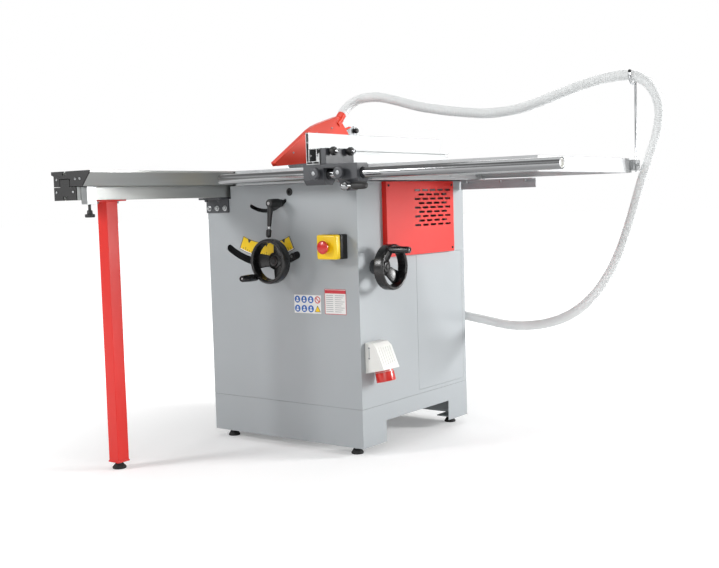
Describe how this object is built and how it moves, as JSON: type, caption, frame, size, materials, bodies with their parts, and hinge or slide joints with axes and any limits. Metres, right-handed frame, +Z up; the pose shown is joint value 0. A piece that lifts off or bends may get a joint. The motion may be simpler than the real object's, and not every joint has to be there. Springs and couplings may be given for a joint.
{
  "type": "panel saw",
  "caption": "Cabinet saw with sliding table, rip fence on a round rail, tilting and lifting blade, riving knife, suction guard with hose, extension table and outrigger leg.",
  "frame": {"origin": "bottom centre of the machine's outline, on the floor and without the hose", "axes": "+Z up, operator stands at -Y, the blade runs along Y and the extension table lies towards +X"},
  "size_m": [1.3108, 1.6, 1.1163],
  "materials": {
    "cabinet_paint": "satin powder coat",
    "red_paint": "semi-gloss powder coat",
    "pale_paint": "satin powder coat",
    "ground_iron": "ground face",
    "dark_iron": "black enamel",
    "bright_steel": "turned and ground",
    "chrome": "polished",
    "anodised": "clear anodised",
    "black_plastic": "fine grain",
    "yellow_plastic": "moulded",
    "red_plastic": "moulded",
    "orange_plastic": "moulded",
    "white_plastic": "moulded",
    "hose_plastic": "flexible, corrugated",
    "rubber": "matt",
    "motor_paint": "satin enamel"
  },
  "bodies": {
    "machine": {"cabinet_shell": "cabinet_paint", "side_panel": "cabinet_paint", "plinth": "cabinet_paint", "foot_front_left": "rubber", "foot_front_right": "rubber", "foot_rear_left": "rubber", "foot_rear_right": "rubber", "main_table": "ground_iron", "table_insert": "bright_steel", "extension_table": "pale_paint", "extension_support": "cabinet_paint", "fence_rail": "chrome", "slide_base": "anodised", "slide_base_cap": "black_plastic", "slide_bracket_front": "dark_iron", "slide_bracket_rear": "dark_iron", "support_leg": "red_paint", "leg_foot": "rubber", "carriage_lock_body": "bright_steel", "vent_cover": "red_paint", "stop_box": "black_plastic", "stop_lid": "yellow_plastic", "power_inlet": "white_plastic", "dust_port": "black_plastic", "tilt_scale": "yellow_plastic", "trunnion_seat_front": "dark_iron", "trunnion_seat_rear": "dark_iron", "hose_rod": "bright_steel", "rod_clamp": "bright_steel", "suction_hose": "hose_plastic"},
    "sliding_table": {"slide_carriage": "anodised", "slide_carriage_cap": "black_plastic"},
    "slide_lock": {"carriage_lock_knob": "black_plastic"},
    "emergency_stop": {"stop_button": "red_plastic"},
    "fence_body": {"fence_casting": "dark_iron", "fence_bracket": "cabinet_paint"},
    "fence_face": {"fence_profile": "anodised"},
    "fence_front_clamp": {"fence_clamp_knob_front": "black_plastic"},
    "fence_rear_clamp": {"fence_clamp_knob_rear": "black_plastic"},
    "fence_adjuster": {"fence_adjust_knob": "dark_iron"},
    "fence_drag": {"fence_drag_knob": "dark_iron"},
    "fence_lever": {"fence_lock_lever": "chrome"},
    "tilting_unit": {"tilt_frame": "dark_iron", "riving_knife": "bright_steel", "blade_guard": "orange_plastic"},
    "guard_clamp": {"guard_knob": "black_plastic"},
    "tilt_lock": {"tilt_lock_lever": "black_plastic"},
    "height_wheel": {"height_handwheel": "black_plastic"},
    "height_grip": {"height_crank_grip": "black_plastic"},
    "tilt_wheel": {"tilt_handwheel": "black_plastic"},
    "tilt_grip": {"tilt_crank_grip": "black_plastic"},
    "lift_spindle": {"lift_screw": "bright_steel"},
    "lifting_unit": {"lift_carriage": "dark_iron", "motor": "motor_paint", "drive_belt": "rubber"},
    "arbor": {"arbor_shaft": "bright_steel", "saw_blade": "bright_steel", "blade_flange": "bright_steel", "arbor_nut": "bright_steel"},
    "motor_drive": {"motor_pulley": "bright_steel"}
  },
  "joints": [
    {"name": "table_slide", "type": "slide", "parent": "machine", "child": "sliding_table", "axis": [0, 1, 0], "range_m": [-0.8, 0.8]},
    {"name": "slide_lock_turn", "type": "hinge", "parent": "machine", "child": "slide_lock", "pos_m": [-0.5355, -0.768, 0.763], "axis": [0, 0, 1], "range_deg": [0, 540]},
    {"name": "stop_press", "type": "slide", "parent": "machine", "child": "emergency_stop", "axis": [0, 1, 0], "range_m": [0, 0.005], "stiffness_N_per_m": 2500},
    {"name": "fence_travel", "type": "slide", "parent": "machine", "child": "fence_body", "axis": [1, 0, 0], "range_m": [-0.255, 0.58]},
    {"name": "fence_face_slide", "type": "slide", "parent": "fence_body", "child": "fence_face", "axis": [0, 1, 0], "range_m": [-0.12, 0.2]},
    {"name": "fence_front_clamp_turn", "type": "hinge", "parent": "fence_body", "child": "fence_front_clamp", "pos_m": [-0.0489, -0.316, 0.8928], "axis": [1, 0, 0], "range_deg": [0, 720]},
    {"name": "fence_rear_clamp_turn", "type": "hinge", "parent": "fence_body", "child": "fence_rear_clamp", "pos_m": [-0.0489, -0.238, 0.8928], "axis": [1, 0, 0], "range_deg": [0, 720]},
    {"name": "fence_adjuster_turn", "type": "hinge", "parent": "fence_body", "child": "fence_adjuster", "pos_m": [-0.0765, -0.3363, 0.831], "axis": [0, 1, 0], "continuous": true},
    {"name": "fence_drag_turn", "type": "hinge", "parent": "fence_body", "child": "fence_drag", "pos_m": [0.0085, -0.3363, 0.831], "axis": [0, 1, 0], "range_deg": [0, 720]},
    {"name": "fence_lever_turn", "type": "hinge", "parent": "fence_body", "child": "fence_lever", "pos_m": [0.0245, -0.362, 0.7935], "axis": [0, 1, 0], "range_deg": [0, 80]},
    {"name": "blade_tilt", "type": "hinge", "parent": "machine", "child": "tilting_unit", "pos_m": [-0.3935, -0.208, 0.855], "axis": [0, 1, 0], "range_deg": [0, 45], "deforming": ["suction_hose"]},
    {"name": "guard_clamp_turn", "type": "hinge", "parent": "tilting_unit", "child": "guard_clamp", "pos_m": [-0.392, 0.258, 0.991], "axis": [1, 0, 0], "range_deg": [0, 720]},
    {"name": "tilt_lock_turn", "type": "hinge", "parent": "tilting_unit", "child": "tilt_lock", "pos_m": [-0.3227, -0.214, 0.75198], "axis": [0, 1, 0], "range_deg": [-20, 90]},
    {"name": "height_wheel_turn", "type": "hinge", "parent": "tilting_unit", "child": "height_wheel", "pos_m": [-0.3135, -0.252, 0.579], "axis": [0, 1, 0], "range_deg": [-2885, 5]},
    {"name": "height_grip_spin", "type": "hinge", "parent": "height_wheel", "child": "height_grip", "pos_m": [-0.351, -0.3013, 0.532], "axis": [0, 1, 0], "continuous": true},
    {"name": "tilt_wheel_turn", "type": "hinge", "parent": "machine", "child": "tilt_wheel", "pos_m": [-0.0115, -0.133, 0.557], "axis": [1, 0, 0], "range_deg": [-5, 3245]},
    {"name": "tilt_grip_spin", "type": "hinge", "parent": "tilt_wheel", "child": "tilt_grip", "pos_m": [0.0378, -0.163, 0.609], "axis": [1, 0, 0], "continuous": true},
    {"name": "lift_spindle_turn", "type": "hinge", "parent": "tilting_unit", "child": "lift_spindle", "pos_m": [-0.3135, -0.028, 0.551], "axis": [0, 0, 1], "range_deg": [-2885, 5]},
    {"name": "blade_lift", "type": "slide", "parent": "tilting_unit", "child": "lifting_unit", "axis": [0, 0, 1], "range_m": [-0.08, 0]},
    {"name": "arbor_spin", "type": "hinge", "parent": "lifting_unit", "child": "arbor", "pos_m": [-0.3935, 0.017, 0.81], "axis": [1, 0, 0], "continuous": true},
    {"name": "motor_spin", "type": "hinge", "parent": "lifting_unit", "child": "motor_drive", "pos_m": [-0.2795, 0.092, 0.695], "axis": [1, 0, 0], "continuous": true}
  ],
  "couplings": [
    {"joint": "height_wheel_turn", "follows": "blade_lift", "rad_per_m": 628.32},
    {"joint": "lift_spindle_turn", "follows": "blade_lift", "rad_per_m": 628.32},
    {"joint": "tilt_wheel_turn", "follows": "blade_tilt", "ratio": 72},
    {"joint": "motor_spin", "follows": "arbor_spin", "ratio": 0.7143}
  ]
}
